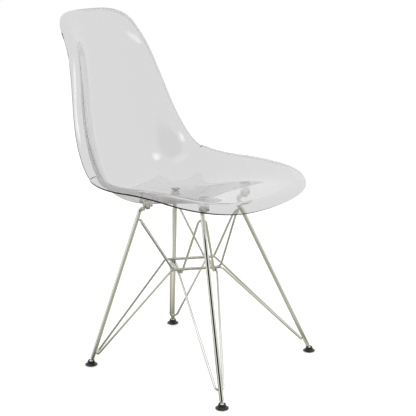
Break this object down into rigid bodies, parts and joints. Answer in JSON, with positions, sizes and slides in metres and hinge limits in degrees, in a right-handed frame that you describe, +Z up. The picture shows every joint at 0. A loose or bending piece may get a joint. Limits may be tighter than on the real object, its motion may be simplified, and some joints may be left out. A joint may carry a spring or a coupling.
{
  "type": "moulded plastic shell chair",
  "caption": "Side chair with a clear moulded plastic shell on a chromed rod base braced with wire, standing on black tilting glides.",
  "frame": {"origin": "on the floor, under the middle of the chair's box", "axes": "+Z up, the chair faces -Y, +X to the sitter's left"},
  "size_m": [0.4802, 0.5338, 0.8165],
  "materials": {
    "clear_plastic": "clear polished polycarbonate",
    "chromed_steel": "bright chromed steel rod and wire",
    "black_nylon": "black moulded nylon",
    "zinc_steel": "bright zinc plated steel",
    "brass_insert": "turned brass"
  },
  "bodies": {
    "chair": {"seat_shell": "clear_plastic", "leg_front_right": "chromed_steel", "leg_front_left": "chromed_steel", "leg_rear_right": "chromed_steel", "leg_rear_left": "chromed_steel", "mount_plate_front_right": "chromed_steel", "mount_plate_front_left": "chromed_steel", "mount_plate_rear_right": "chromed_steel", "mount_plate_rear_left": "chromed_steel", "upper_brace_over": "chromed_steel", "upper_brace_under": "chromed_steel", "lower_brace_over": "chromed_steel", "lower_brace_under": "chromed_steel", "threaded_inserts": "brass_insert", "mounting_screws": "zinc_steel", "spring_washers": "zinc_steel", "flat_washers": "zinc_steel"},
    "glide_front_right": {"glide_front_right": "black_nylon"},
    "glide_front_left": {"glide_front_left": "black_nylon"},
    "glide_rear_right": {"glide_rear_right": "black_nylon"},
    "glide_rear_left": {"glide_rear_left": "black_nylon"}
  },
  "joints": [
    {"name": "glide_tilt_front_right", "type": "hinge", "parent": "chair", "child": "glide_front_right", "pos_m": [-0.195, -0.237, 0.0088], "axis": [-0.7357, 0.6773, 0], "range_deg": [-10, 10]},
    {"name": "glide_tilt_front_left", "type": "hinge", "parent": "chair", "child": "glide_front_left", "pos_m": [0.195, -0.237, 0.0088], "axis": [-0.7357, -0.6773, 0], "range_deg": [-10, 10]},
    {"name": "glide_tilt_rear_right", "type": "hinge", "parent": "chair", "child": "glide_rear_right", "pos_m": [-0.1655, 0.149, 0.0088], "axis": [0.6371, 0.7708, 0], "range_deg": [-10, 10]},
    {"name": "glide_tilt_rear_left", "type": "hinge", "parent": "chair", "child": "glide_rear_left", "pos_m": [0.1655, 0.149, 0.0088], "axis": [0.6371, -0.7708, 0], "range_deg": [-10, 10]}
  ]
}
